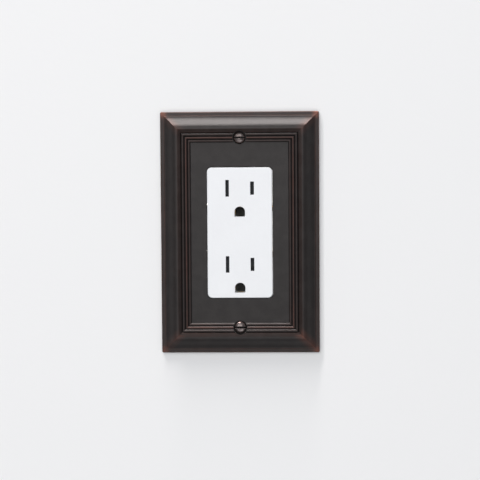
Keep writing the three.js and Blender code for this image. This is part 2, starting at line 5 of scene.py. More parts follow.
import bmesh
import bpy
from bpy.props import FloatProperty, FloatVectorProperty, PointerProperty
from mathutils import Matrix, Vector


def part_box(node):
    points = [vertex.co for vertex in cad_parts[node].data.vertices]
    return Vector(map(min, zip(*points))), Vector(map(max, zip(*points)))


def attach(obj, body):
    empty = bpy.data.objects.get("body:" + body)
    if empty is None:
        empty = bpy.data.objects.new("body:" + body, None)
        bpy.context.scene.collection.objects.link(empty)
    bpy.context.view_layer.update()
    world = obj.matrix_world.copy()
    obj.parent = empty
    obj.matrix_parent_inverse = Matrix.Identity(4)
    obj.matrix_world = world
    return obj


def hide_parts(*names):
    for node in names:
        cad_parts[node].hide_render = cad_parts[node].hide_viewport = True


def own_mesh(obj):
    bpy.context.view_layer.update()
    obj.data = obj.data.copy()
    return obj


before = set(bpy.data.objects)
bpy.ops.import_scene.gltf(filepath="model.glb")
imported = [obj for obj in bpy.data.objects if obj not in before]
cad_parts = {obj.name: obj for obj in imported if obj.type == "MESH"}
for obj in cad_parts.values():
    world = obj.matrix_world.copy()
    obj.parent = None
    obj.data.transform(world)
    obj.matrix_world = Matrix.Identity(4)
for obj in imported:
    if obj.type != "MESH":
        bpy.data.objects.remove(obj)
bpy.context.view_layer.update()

bl_info = {
    "name": "Wall plate and receptacle",
    "version": (1, 0, 0),
    "blender": (4, 5, 0),
    "location": "View3D > Sidebar > Wall plate",
    "description": "Models a moulded wall plate and the duplex receptacle that it covers",
    "category": "Add Mesh",
}

MM = 0.001
TINY = 1e-6
NEAR = 2e-5
FRONT = Vector((0, -1, 0))
BACK = Vector((0, 1, 0))
UP = Vector((0, 0, 1))
RIGHT = Vector((1, 0, 0))


# ---- Settings --------------------------------------------------------------------------------


def length(name, text, millimetres):
    return FloatProperty(name=name, description=text, default=millimetres * MM, unit="LENGTH",
                         precision=5)


def colour(name, text, rgb):
    return FloatVectorProperty(name=name, description=text, default=rgb, size=3, min=0, max=1,
                               subtype="COLOR")


class PlateSettings(bpy.types.PropertyGroup):
    panel: length("Panel height", "Height of the flat panel over the wall", 5.0)
    bead_rise: length("Bead rise", "How far each small bead stands over its grooves", 0.65)
    outer_corner: length("Outer corner", "Radius of the plate's four outer corners", 1.0)
    window_corner: length("Window corner", "Radius of the window's corners", 2.5)


class FinishSettings(bpy.types.PropertyGroup):
    bronze: colour("Bronze", "Dark skin of the oil-rubbed bronze", (0.0215, 0.0195, 0.0190))
    copper: colour("Copper", "Metal that shows where the bronze is rubbed", (0.22, 0.090, 0.066))
    white: colour("White", "Moulded white plastic of the receptacle's face", (0.86, 0.87, 0.885))
    wall: colour("Wall", "Painted wall behind the plate", (0.88, 0.88, 0.88))


class LightSettings(bpy.types.PropertyGroup):
    key: FloatProperty(name="Key light", description="Power of the soft front light", default=25,
                       unit="POWER")
    fill: FloatProperty(name="Fill light", description="Power of the light bounced up from below",
                        default=10, unit="POWER")
    front: FloatProperty(name="Front light",
                         description="Power of the faint light that the flat panel mirrors",
                         default=1.35, unit="POWER")
    overhead: FloatProperty(name="Overhead light", description="Power of the light above the plate",
                            default=215, unit="POWER")
    rear: FloatProperty(name="Rear light", description="Power of the light behind the wall",
                        default=30, unit="POWER")
    surroundings: FloatProperty(name="Surroundings", default=0.33, min=0,
                                description="Brightness of the pale room round the object")


def plate_settings():
    return bpy.context.scene.wall_plate_sizes


def finish_settings():
    return bpy.context.scene.wall_plate_finishes


# ---- Modelling helpers -------------------------------------------------------------------------


def deselect_all():
    bpy.ops.object.select_all(action="DESELECT")


def make_active(obj):
    deselect_all()
    obj.hide_viewport = False
    obj.select_set(True)
    bpy.context.view_layer.objects.active = obj


def apply_place(obj):
    make_active(obj)
    bpy.ops.object.transform_apply(location=True, rotation=True, scale=True)
    return obj


def add_block(low, high):
    """A box between two corners, in millimetres."""
    low, high = Vector(low) * MM, Vector(high) * MM
    deselect_all()
    bpy.ops.mesh.primitive_cube_add(size=1, location=(low + high) / 2, scale=high - low)
    return apply_place(bpy.context.object)


def turn_to(axis):
    """The rotation that takes +Z to axis."""
    return Vector(axis).to_track_quat("Z", "Y").to_euler()


def add_rod(start, end, radius, sides=48, end_radius=None):
    """A cylinder or cone from start to end, in millimetres."""
    start, end = Vector(start) * MM, Vector(end) * MM
    deselect_all()
    bpy.ops.mesh.primitive_cone_add(
        vertices=sides, radius1=radius * MM,
        radius2=(radius if end_radius is None else end_radius) * MM,
        depth=(end - start).length, location=(start + end) / 2, rotation=turn_to(end - start))
    return apply_place(bpy.context.object)


def edit(obj, select="FACE"):
    """Enters edit mode with nothing selected and returns the edit mesh."""
    make_active(obj)
    bpy.ops.object.mode_set(mode="EDIT")
    bpy.ops.mesh.select_mode(type=select)
    bpy.ops.mesh.select_all(action="DESELECT")
    mesh = bmesh.from_edit_mesh(obj.data)
    mesh.normal_update()
    return mesh


def end_edit(obj):
    bpy.ops.object.mode_set(mode="OBJECT")
    return obj


def pick(obj, elements, test):
    """Selects the faces or edges that pass the test and returns how many there are."""
    count = 0
    for element in elements:
        if test(element):
            element.select_set(True)
            count += 1
    bmesh.update_edit_mesh(obj.data)
    return count


def modify(obj, kind, **values):
    """Adds a modifier and applies it."""
    make_active(obj)
    bpy.ops.object.modifier_add(type=kind)
    modifier = obj.modifiers[-1]
    for key, value in values.items():
        setattr(modifier, key, value)
    bpy.ops.object.modifier_apply(modifier=modifier.name)
    return obj


def combine(obj, tool, operation="DIFFERENCE"):
    """Cuts obj by tool, joins them or keeps what they share. The tool is used up."""
    modify(obj, "BOOLEAN", operation=operation, object=tool, solver="MANIFOLD")
    bpy.data.objects.remove(tool)
    return obj


def smooth(obj, angle=32):
    """Shades obj smooth, with its edges above angle degrees kept sharp."""
    make_active(obj)
    bpy.ops.object.shade_smooth_by_angle(angle=math.radians(angle))
    return modify(obj, "WEIGHTED_NORMAL", keep_sharp=True, weight=80)


def tidy(obj, flat=0.5):
    """Merges what coincides and dissolves edges that lie in a plane."""
    edit(obj)
    bpy.ops.mesh.select_all(action="SELECT")
    bpy.ops.mesh.remove_doubles(threshold=TINY * 3)
    bpy.ops.mesh.dissolve_limited(angle_limit=math.radians(flat))
    bpy.ops.mesh.normals_make_consistent(inside=False)
    return end_edit(obj)


def copy_of(node):
    """A merged copy of a frame node's mesh, to be refined."""
    obj = bpy.data.objects.new(node + "_fine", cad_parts[node].data.copy())
    obj.data.materials.clear()
    bpy.context.scene.collection.objects.link(obj)
    return tidy(obj)


def lathe(profile, origin, axis, steps=48):
    """Spins [radius, height] points, in millimetres, about axis through origin."""
    deselect_all()
    radius, height = profile[0]
    bpy.ops.mesh.primitive_plane_add(size=MM, location=(0, 0, 0))
    obj = bpy.context.object
    edit(obj, "VERT")
    bpy.ops.mesh.select_all(action="SELECT")
    bpy.ops.mesh.merge(type="CENTER")
    bpy.ops.transform.translate(value=(radius * MM, 0, height * MM))
    for next_radius, next_height in profile[1:]:
        step = ((next_radius - radius) * MM, 0, (next_height - height) * MM)
        bpy.ops.mesh.extrude_region_move(TRANSFORM_OT_translate={"value": step})
        radius, height = next_radius, next_height
    bpy.ops.mesh.select_all(action="SELECT")
    bpy.ops.mesh.spin(steps=steps, angle=2 * math.pi, center=(0, 0, 0), axis=(0, 0, 1))
    bpy.ops.mesh.select_all(action="SELECT")
    bpy.ops.mesh.remove_doubles(threshold=TINY)
    bpy.ops.mesh.normals_make_consistent(inside=False)
    end_edit(obj)
    obj.rotation_euler = turn_to(axis)
    obj.location = Vector(origin) * MM
    return apply_place(obj)


def settle(obj, name, body, slot, material, *nodes):
    """Names a finished piece, gives it its material and hands it to its body."""
    obj.name = name
    obj.data.name = name
    obj.data.materials.clear()
    obj.data.materials.append(material)
    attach(obj, body)
    if nodes:
        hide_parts(*nodes)
    return obj


# ---- Wall plate --------------------------------------------------------------------------------

LIP_EDGE = [(0, 1.2), (0.06, 1.5), (0.2, 1.74), (0.42, 1.89), (0.7, 1.95)]
STEP = [(1.85, 2.0), (2.02, 2.08), (2.12, 2.26), (2.2, 2.5), (2.3, 2.62), (2.44, 2.65)]
OGEE_START, OGEE_END = (2.6, 2.65), (8.9, 6.6)
OGEE_TURN = 5.4
OGEE_STEPS = 26
CREST_EDGE = [(9.3, 6.56), (10.45, 6.34), (10.66, 6.25), (10.8, 6.1)]
BEADS_START, BEADS_END = 11.0, 15.8
BEAD_COUNT = 3
BEAD_STEPS = 12
BEADS_BASE = 5.95
BACK_SECTION = [(2.4, 0), (2.7, 0.15), (3.0, 0.6), (4.0, 1.6), (5.0, 2.6), (6.2, 3.5), (7.4, 4.2),
                (8.6, 4.6), (11.0, 4.4), (13.8, 3.85), (16.6, 3.3)]
WINDOW = (33.5, 67.0)
WINDOW_EDGE_ROUND, MITRE_ROUND = 0.28, 0.07
BOSS_SECTION = [(0, 1.5), (3.4, 1.5), (3.4, 3.2), (5, 3.2), (5, 4.25), (0, 4.25)]
SINK_SECTION = [(0, -1), (2.05, -1), (2.05, 3.15), (3.26, 4.5), (3.6, 4.5), (3.6, 9), (0, 9)]


def ogee():
    """Inset and height of the large moulding: a slow hollow that rounds over at its top."""
    start, end = OGEE_START[0], OGEE_END[0]
    points, height = [(start, 0.0)], 0.0
    for step in range(OGEE_STEPS):
        inset = start + (end - start) * (step + 0.5) / OGEE_STEPS
        if inset < OGEE_TURN:
            slope = 0.5 + 0.45 * math.sin(math.pi / 2 * (inset - start) / (OGEE_TURN - start))
        else:
            slope = 0.95 * math.cos(math.pi / 2 * (inset - OGEE_TURN) / (end - OGEE_TURN)) ** 1.3
        height += slope * (end - start) / OGEE_STEPS
        points.append((start + (end - start) * (step + 1) / OGEE_STEPS, height))
    rise = (OGEE_END[1] - OGEE_START[1]) / height
    return [(inset, OGEE_START[1] + y * rise) for inset, y in points]


def border_section(sizes):
    """Inset and height of the border's face, from the outer edge to the flat panel."""
    section = list(LIP_EDGE) + list(STEP)
    section += ogee()
    section += CREST_EDGE
    panel = sizes.panel / MM
    for bead in range(BEAD_COUNT):
        for step in range(BEAD_STEPS):
            within = step / BEAD_STEPS
            t = (bead + within) / BEAD_COUNT
            base = BEADS_BASE + (panel - BEADS_BASE) * t
            bump = math.sin(math.pi * within) ** 0.75
            section.append((BEADS_START + (BEADS_END - BEADS_START) * t,
                            base + sizes.bead_rise / MM * bump))
    section.append((BEADS_END, panel))
    return section


def inset_along(obj, section, facing):
    """Insets the face that looks along facing through a list of insets and heights."""
    mesh = edit(obj)
    pick(obj, mesh.faces, lambda face: face.normal.dot(facing) > 0.9)
    inset, height = section[0]
    for next_inset, next_height in section[1:]:
        bpy.ops.mesh.inset(thickness=(next_inset - inset) * MM, depth=(next_height - height) * MM)
        inset, height = next_inset, next_height
    return end_edit(obj)


def rounded_block(low, high, radius, segments=10):
    """A box whose four edges along y are rounded."""
    block = add_block(low, high)
    mesh = edit(block, "EDGE")
    pick(block, mesh.edges,
         lambda e: abs((e.verts[0].co - e.verts[1].co).normalized().y) > 0.9)
    bpy.ops.mesh.bevel(offset=radius * MM, segments=segments, affect="EDGES")
    return end_edit(block)


def bevel_loop(obj, test, width, segments=3):
    """Rounds the edges whose two ends both pass the test."""
    mesh = edit(obj, "EDGE")
    found = pick(obj, mesh.edges, lambda e: all(test(v.co) for v in e.verts))
    if not found:
        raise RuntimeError(f"{obj.name}: no edge to round there")
    bpy.ops.mesh.bevel(offset=width * MM, segments=segments, affect="EDGES", clamp_overlap=True)
    return end_edit(obj)


def model_plate(sizes, half_width, half_height, screw_heights):
    """The cast plate: a border carried round by insets, a window, two bosses and two sinks."""
    section = border_section(sizes)
    plate = add_block((-half_width, -section[0][1], -half_height), (half_width, 0, half_height))
    inset_along(plate, section, FRONT)
    back = [(0, 0)] + [(inset, -height) for inset, height in BACK_SECTION]
    inset_along(plate, back, BACK)
    corner = sizes.outer_corner / MM
    combine(plate, rounded_block((-half_width, -20, -half_height), (half_width, 5, half_height), corner),
            "INTERSECT")
    mesh = edit(plate, "EDGE")
    pick(plate, mesh.edges, is_mitre)
    bpy.ops.mesh.bevel(offset=MITRE_ROUND * MM, segments=2, affect="EDGES", clamp_overlap=True)
    end_edit(plate)
    combine(plate, rounded_block((-WINDOW[0] / 2, -20, -WINDOW[1] / 2), (WINDOW[0] / 2, 20, WINDOW[1] / 2),
                                 sizes.window_corner / MM))
    panel = sizes.panel

    def at_window(co):
        return (abs(co.y + panel) < TINY * 5 and abs(co.x) < (WINDOW[0] / 2 + 0.1) * MM
                and abs(co.z) < (WINDOW[1] / 2 + 0.1) * MM)

    bevel_loop(plate, at_window, WINDOW_EDGE_ROUND)
    for z in screw_heights:
        combine(plate, lathe(BOSS_SECTION, (0, 0, z), FRONT), "UNION")
        combine(plate, lathe(SINK_SECTION, (0, 0, z), FRONT, 64))
    return smooth(plate)


def is_mitre(edge):
    """True for an edge that runs diagonally across the border's face."""
    way = (edge.verts[0].co - edge.verts[1].co)
    middle = (edge.verts[0].co + edge.verts[1].co) / 2
    return (abs(way.x) > TINY * 5 and abs(abs(way.x) - abs(way.z)) < TINY * 5
            and middle.y < -1.9 * MM)


# ---- Screws ------------------------------------------------------------------------------------

PITCH = 0.79375
CREST, ROOT = 1.75, 1.36
RINGS_A_TURN = 4


def threaded_rod(origin, axis, start, end, sides=20):
    """A No. 6-32 thread along axis from start to end, in millimetres, tapered at its tip, the end."""
    count = int((end - start) / PITCH * RINGS_A_TURN)
    step = (end - start) / count
    profile = [(0, start)] + [(CREST, start + step * i) for i in range(count + 1)] + [(0, end)]
    rod = lathe(profile, (0, 0, 0), UP, sides)
    for vertex in rod.data.vertices:
        x, y, height = vertex.co / MM
        distance = math.hypot(x, y)
        if distance < CREST / 2:
            continue
        turn = math.atan2(y, x) / (2 * math.pi)
        wave = abs(((height / PITCH - turn) % 1) * 2 - 1)
        radius = ROOT + (CREST - ROOT) * wave
        radius = min(radius, ROOT - 0.25 + 0.8 * (end - height))
        vertex.co.x, vertex.co.y = x * radius / distance * MM, y * radius / distance * MM
    rod.rotation_euler = turn_to(axis)
    rod.location = Vector(origin) * MM
    return apply_place(rod)


def ease_edges(obj, width, angle=38):
    """A small rounding on each edge sharper than angle."""
    return modify(obj, "BEVEL", width=width * MM, segments=2, limit_method="ANGLE",
                  angle_limit=math.radians(angle), use_clamp_overlap=True)


def model_plate_screw(z):
    """An oval-head screw: domed slotted head, countersunk below, threaded behind."""
    dome = [(2.87 * math.cos(a), 4.95 + 1.25 * math.sin(a))
            for a in (math.radians(d) for d in range(0, 86, 8))]
    head = lathe([(0, 2.6), (1.75, 2.6), (1.75, 3.15), (2.78, 4.3), (2.9, 4.45), (2.9, 4.77)] + dome
                 + [(0, 6.2)], (0, 0, z), FRONT, 64)
    combine(head, add_block((-4, -8, z - 0.5), (4, -5.1, z + 0.5)))
    ease_edges(head, 0.09)
    combine(head, threaded_rod((0, 0, z), BACK, -2.9, 7), "UNION")
    return smooth(head)


def model_mounting_screw(z):
    """An oval-head screw that reaches into the wall box, under the plate."""
    head = lathe([(0, 1.5), (2.9, 1.5), (3.0, 1.6), (3.0, 2.0), (2.7, 2.35), (2.1, 2.66),
                  (1.2, 2.84), (0, 2.9)], (0, 0, z), FRONT, 48)
    combine(head, add_block((-4, -4, z - 0.5), (4, -2.1, z + 0.5)))
    ease_edges(head, 0.08)
    combine(head, threaded_rod((0, 0, z), BACK, -1.8, 22), "UNION")
    return smooth(head)


def model_terminal_screw(side, y, z):
    """A binding-head screw on the x axis, threaded inwards through its land."""
    head = lathe([(0, 16.7), (3.3, 16.7), (3.4, 16.8), (3.4, 18.05), (3.28, 18.32), (3.0, 18.53),
                  (2.4, 18.66), (0, 18.7)], (0, y, z), RIGHT * side, 48)
    across = sorted((side * 17.6, side * 20))
    combine(head, add_block((across[0], y - 0.5, z - 5), (across[1], y + 0.5, z + 5)))
    ease_edges(head, 0.1)
    combine(head, threaded_rod((0, y, z), RIGHT * -side, -17.1, -9.3), "UNION")
    return smooth(head)


def model_ground_screw(y, z):
    """A flanged hex head with a slot, outwards of the strap's lug."""
    head = add_rod((-12.7, y, z), (-10.8, y, z), 3.67, 6)
    ease_edges(head, 0.22, 30)
    flange = lathe([(0, 10.5), (4.1, 10.5), (4.2, 10.6), (4.2, 10.9), (3.9, 11.2), (0, 11.2)],
                   (0, y, z), -RIGHT, 48)
    combine(head, flange, "UNION")
    combine(head, add_block((-14, y - 0.5, z - 5), (-11.7, y + 0.5, z + 5)))
    ease_edges(head, 0.06)
    combine(head, threaded_rod((0, y, z), RIGHT, -10.9, -5.2), "UNION")
    return smooth(head)


def model_housing_screw(node):
    """A small pan-head screw with a cross recess, flush in the back of the body."""
    low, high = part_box(node)
    x, z = (low.x + high.x) / 2 / MM, (low.z + high.z) / 2 / MM
    tip, top = low.y / MM, high.y / MM
    head = lathe([(0, tip), (0.75, tip), (1.1, tip + 0.5), (1.1, top - 1.3), (2.0, top - 1.3),
                  (2.1, top - 1.2), (2.1, top - 0.6), (1.85, top - 0.2), (1.3, top), (0, top)],
                 (x, 0, z), BACK, 32)
    for wide, tall in ((1.25, 0.22), (0.22, 1.25)):
        combine(head, add_block((x - wide, top - 0.8, z - tall), (x + wide, top + 1, z + tall)))
    return smooth(ease_edges(head, 0.05))


def model_spring(node, turns=4.5, wire=0.15, rounds=24):
    """A round-wire compression spring along x."""
    low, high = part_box(node)
    middle = (low + high) / 2
    radius = (high.z - low.z) / 2 - wire * MM
    start, end = low.x + wire * MM, high.x - wire * MM
    curve = bpy.data.curves.new(node + "_wire", "CURVE")
    curve.dimensions = "3D"
    curve.bevel_depth = wire * MM
    curve.bevel_resolution = 3
    curve.use_fill_caps = True
    count = int(turns * rounds)
    spline = curve.splines.new("POLY")
    spline.points.add(count)
    for index, point in enumerate(spline.points):
        angle = 2 * math.pi * index / rounds
        point.co = (start + (end - start) * index / count, middle.y + radius * math.cos(angle),
                    middle.z + radius * math.sin(angle), 1)
    spring = bpy.data.objects.new(node + "_wire", curve)
    bpy.context.scene.collection.objects.link(spring)
    make_active(spring)
    bpy.ops.object.convert(target="MESH")
    return smooth(tidy(bpy.context.object, 0.01), 60)


# ---- Receptacle --------------------------------------------------------------------------------

SLOT_ZONE = (13.0, 31.0)              # half width and half height of the slots' part of the face
FACE_EDGE_ROUND, SLOT_EDGE_ROUND = 0.45, 0.16


def model_face():
    """The white front: its outer edge rounded, each slot and ground hole eased."""
    face = copy_of("face_cover")
    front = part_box("face_cover")[0].y

    def on_front(co):
        return abs(co.y - front) < NEAR

    def by_slots(co):
        return abs(co.x) < SLOT_ZONE[0] * MM and abs(co.z) < SLOT_ZONE[1] * MM

    bevel_loop(face, lambda co: on_front(co) and not by_slots(co), FACE_EDGE_ROUND, 4)
    bevel_loop(face, lambda co: on_front(co) and by_slots(co), SLOT_EDGE_ROUND)
    return smooth(face)


def refine(node, width, angle=40):
    """A frame node's own shape with its edges rounded as a pressing or moulding has them."""
    obj = copy_of(node)
    ease_edges(obj, width, angle)
    return smooth(obj)


# ---- Node tools ----------------------------------------------------------------------------------


class Bench:
    """Adds nodes to one tree and joins them up."""

    def __init__(self, tree):
        self.tree = tree
        tree.nodes.clear()

    def add(self, kind, inputs=None, **settings):
        node = self.tree.nodes.new(kind)
        for key, value in settings.items():
            setattr(node, key, value)
        for key, value in (inputs or {}).items():
            self.feed(node.inputs[key], value)
        return node

    def feed(self, socket, value):
        if isinstance(value, bpy.types.NodeSocket):
            self.tree.links.new(value, socket)
        else:
            socket.default_value = value

    def math(self, operation, *values):
        node = self.add("ShaderNodeMath", operation=operation)
        for index, value in enumerate(values):
            self.feed(node.inputs[index], value)
        return node.outputs[0]

    def step(self, value, low, high):
        """0 below low, 1 above high and smooth between. High may be the lower one."""
        return self.add("ShaderNodeMapRange", {"Value": value, "From Min": low, "From Max": high},
                        interpolation_type="SMOOTHSTEP").outputs["Result"]

    def noise(self, vector, size, detail=3.0, roughness=0.55):
        """Noise whose features are about size millimetres across."""
        return self.add("ShaderNodeTexNoise", {"Vector": vector, "Scale": 1 / (size * MM),
                                               "Detail": detail, "Roughness": roughness}).outputs["Fac"]

    def mix(self, share, first, second):
        node = self.add("ShaderNodeMix", data_type="RGBA")
        self.feed(node.inputs["Factor"], share)
        self.feed(node.inputs["A"], first if isinstance(first, bpy.types.NodeSocket) else (*first, 1))
        self.feed(node.inputs["B"], second if isinstance(second, bpy.types.NodeSocket) else (*second, 1))
        return node.outputs["Result"]

    def apart(self, vector):
        return self.add("ShaderNodeSeparateXYZ", {"Vector": vector}).outputs

    def scaled(self, vector, scale, move=(0, 0, 0)):
        return self.add("ShaderNodeMapping", {"Vector": vector, "Scale": scale,
                                              "Location": move}).outputs["Vector"]


def new_group(name, inputs, outputs):
    """An empty node group with named sockets, and its bench, its input and its output node."""
    tree = bpy.data.node_groups.new(name, "ShaderNodeTree")
    for direction, sockets in (("INPUT", inputs), ("OUTPUT", outputs)):
        for socket, kind, default in sockets:
            made = tree.interface.new_socket(name=socket, in_out=direction, socket_type="NodeSocket" + kind)
            if default is not None:
                made.default_value = default
    bench = Bench(tree)
    return tree, bench, bench.add("NodeGroupInput").outputs, bench.add("NodeGroupOutput").inputs


def grain_group():
    """Fine moulded or cast grain: a height for bump and a value for colour."""
    tree, bench, given, result = new_group(
        "Surface grain", [("Vector", "Vector", None), ("Fine", "Float", 1000.0),
                          ("Coarse", "Float", 150.0)],
        [("Height", "Float", None), ("Value", "Float", None)])
    fine = bench.add("ShaderNodeTexNoise", {"Vector": given["Vector"], "Scale": given["Fine"],
                                            "Detail": 2.0, "Roughness": 0.6}).outputs["Fac"]
    coarse = bench.add("ShaderNodeTexNoise", {"Vector": given["Vector"], "Scale": given["Coarse"],
                                              "Detail": 4.0, "Roughness": 0.6}).outputs["Fac"]
    bench.feed(result["Height"], bench.math("MULTIPLY_ADD", coarse, 0.35, fine))
    bench.feed(result["Value"], bench.math("MULTIPLY_ADD", bench.math("SUBTRACT", fine, 0.5), 0.5, coarse))
    return tree


def scratches_group():
    """Fine straight brushing or handling marks along x, as a height and a mask."""
    tree, bench, given, result = new_group(
        "Handling marks", [("Vector", "Vector", None), ("Fine", "Float", 2500.0)],
        [("Height", "Float", None), ("Mask", "Float", None)])
    along = bench.scaled(given["Vector"], (0.06, 1, 1))
    marks = bench.add("ShaderNodeTexNoise", {"Vector": along, "Scale": given["Fine"], "Detail": 3.0,
                                             "Roughness": 0.7}).outputs["Fac"]
    patches = bench.noise(given["Vector"], 6.0, 3.0)
    bench.feed(result["Height"], marks)
    bench.feed(result["Mask"], bench.math("MULTIPLY", bench.step(marks, 0.52, 0.68),
                                          bench.step(patches, 0.42, 0.6)))
    return tree


def patchy_group():
    """Breaks a wear mask into rubbed patches: strong at its middle, ragged at its border."""
    tree, bench, given, result = new_group(
        "Patchy wear", [("Vector", "Vector", None), ("Mask", "Float", 0.0), ("Amount", "Float", 0.5)],
        [("Wear", "Float", None)])
    broad = bench.noise(given["Vector"], 14.0, 2.0)
    small = bench.noise(given["Vector"], 1.3, 3.0, 0.65)
    ragged = bench.math("MULTIPLY_ADD", bench.math("SUBTRACT", broad, 0.5), 1.6,
                        bench.math("MULTIPLY", bench.math("SUBTRACT", small, 0.5), 1.1))
    level = bench.math("ADD", given["Mask"], bench.math("MULTIPLY", ragged, given["Mask"]))
    level = bench.math("MULTIPLY", level, given["Amount"])
    node = bench.math("MINIMUM", bench.math("MAXIMUM", level, 0.0), 1.0)
    bench.feed(result["Wear"], node)
    return tree


BORDER_WEAR = [(0, 0.26), (0.35, 0.2), (0.8, 0.05), (1.5, 0.04), (1.95, 0.2), (2.2, 0.12), (2.5, 0.02),
               (8.2, 0.02), (8.9, 0.05), (10.3, 0.04), (10.6, 0.1), (10.9, 0.0),
               (11.35, 0.03), (11.8, 0.1), (12.2, 0.04), (12.6, 0.0), (12.95, 0.08), (13.4, 0.34),
               (13.8, 0.1), (14.2, 0.0), (14.55, 0.04), (15.0, 0.12), (15.4, 0.04), (15.8, 0.01),
               (20, 0.01)]
BORDER_REACH = 20
# Painted shade: the crest band between these insets is made darker in the bronze.
CREST_SHADE_BAND = ((0.0086, 0.0092), (0.0112, 0.0108))     # insets over which the band comes in and out
MITRE_END = (0.0105, 0.0085)                          # insets over which the mitre's wear fades
CORNER_WEAR = (0.005, 0.001)


def border_group():
    """Where a border's face is rubbed (Mask), and its highest band, the crest, given out for painted shade
    that darkens it.
    """
    tree, bench, given, result = new_group(
        "Rubbed border", [("Vector", "Vector", None), ("Half Width", "Float", 0.04),
                          ("Half Height", "Float", 0.06)],
        [("Mask", "Float", None), ("Band", "Float", None)])
    x, y, z = bench.apart(given["Vector"])
    from_side = bench.math("SUBTRACT", given["Half Width"], bench.math("ABSOLUTE", x))
    from_end = bench.math("SUBTRACT", given["Half Height"], bench.math("ABSOLUTE", z))
    inset = bench.math("MINIMUM", from_side, from_end)
    ramp = bench.add("ShaderNodeValToRGB",
                     {"Fac": bench.math("DIVIDE", inset, BORDER_REACH * MM)})
    elements = ramp.color_ramp.elements
    elements.remove(elements[1])
    for index, (place, wear) in enumerate(BORDER_WEAR):
        element = elements[0] if index == 0 else elements.new(place / BORDER_REACH)
        element.position = place / BORDER_REACH
        element.color = (wear, wear, wear, 1)
    lines = ramp.outputs["Color"]
    off_mitre = bench.math("ABSOLUTE", bench.math("SUBTRACT", from_side, from_end))
    on_mitre = bench.math("MAXIMUM", bench.math("MULTIPLY", bench.step(off_mitre, 0.0008, 0.0001), 0.5),
                          bench.math("MULTIPLY", bench.step(off_mitre, 0.0060, 0.0), 0.32))
    handled = bench.math("MULTIPLY_ADD", bench.step(bench.math("SUBTRACT", x, z), -0.02, 0.09), 0.6, 0.5)
    mitre = bench.math("MULTIPLY", bench.math("MULTIPLY", on_mitre, handled),
                       bench.step(inset, *MITRE_END))
    corner = bench.step(bench.math("MAXIMUM", from_side, from_end), *CORNER_WEAR)
    mask = bench.math("MAXIMUM", lines, mitre)
    mask = bench.math("MAXIMUM", mask, bench.math("MULTIPLY", corner, 0.8))
    # Painted shade: the crest band, which the bronze makes darker.
    bench.feed(result["Band"], bench.math("MULTIPLY", bench.step(inset, *CREST_SHADE_BAND[0]),
                                          bench.step(inset, *CREST_SHADE_BAND[1])))
    # The wear stops between the face and the back, which the two lines keep apart.
    rising = bench.math("MULTIPLY_ADD", inset, 0.6, 0.0003)
    falling = bench.math("MULTIPLY_ADD", inset, -0.15, 0.00685)
    above_back = bench.math("SUBTRACT", bench.math("MULTIPLY", y, -1),
                            bench.math("MINIMUM", rising, falling))
    bench.feed(result["Mask"], bench.math("MULTIPLY", mask, bench.step(above_back, 0.0, 0.0004)))
    return tree


def place_group(bench, tree, **inputs):
    node = bench.add("ShaderNodeGroup", node_tree=tree)
    for key, value in inputs.items():
        bench.feed(node.inputs[key.replace("_", " ")], value)
    return node.outputs


def group_named(name, make):
    return bpy.data.node_groups.get(name) or make()


def start_material(name):
    """A new material with its bench, its object coordinates and its shader."""
    material = bpy.data.materials.new(name)
    material.use_nodes = True
    bench = Bench(material.node_tree)
    coordinates = bench.add("ShaderNodeTexCoord").outputs["Object"]
    shader = bench.add("ShaderNodeBsdfPrincipled")
    bench.add("ShaderNodeOutputMaterial", {"Surface": shader.outputs["BSDF"]})
    return material, bench, coordinates, shader.inputs


def bump(bench, height, millimetres, strength=1.0):
    return bench.add("ShaderNodeBump", {"Height": height, "Distance": millimetres * MM,
                                        "Strength": strength}).outputs["Normal"]


# ---- Materials -----------------------------------------------------------------------------------


def bronze_material():
    """Oil-rubbed bronze: a dark satin skin, rubbed back to copper along the border's lines, with painted
    shade on its crest band.
    """
    name = "Oil-rubbed bronze"
    if name in bpy.data.materials:
        return bpy.data.materials[name]
    material, bench, at, shader = start_material(name)
    finishes = finish_settings()
    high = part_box("wall_plate")[1]
    grain = place_group(bench, group_named("Surface grain", grain_group), Vector=at, Fine=2600.0,
                        Coarse=170.0)
    border = place_group(bench, group_named("Rubbed border", border_group), Vector=at,
                         Half_Width=high.x, Half_Height=high.z)
    wear = place_group(bench, group_named("Patchy wear", patchy_group), Vector=at,
                       Mask=border["Mask"], Amount=0.85)["Wear"]
    specks = bench.step(bench.noise(at, 0.5, 2.0), 0.66, 0.74)
    wear = bench.math("MAXIMUM", wear, bench.math("MULTIPLY", specks, 0.12))
    dark = bench.mix(bench.step(grain["Value"], 0.35, 0.68), tuple(c * 0.86 for c in finishes.bronze),
                     tuple(c * 1.16 for c in finishes.bronze))
    bench.feed(shader["Base Color"], bench.mix(wear, dark, finishes.copper))
    metallic = bench.math("MULTIPLY_ADD", wear, 0.5, 0.45)
    # Painted shade: extra Metallic on the crest band takes away its diffuse light and darkens it.
    bench.feed(shader["Metallic"], bench.math("MULTIPLY_ADD", border["Band"], 0.5, metallic))
    rough = bench.math("MULTIPLY_ADD", grain["Height"], 0.16, 0.30)
    bench.feed(shader["Roughness"], bench.math("MULTIPLY_ADD", wear, -0.06, rough))
    bench.feed(shader["Normal"], bump(bench, grain["Height"], 0.018))
    return material


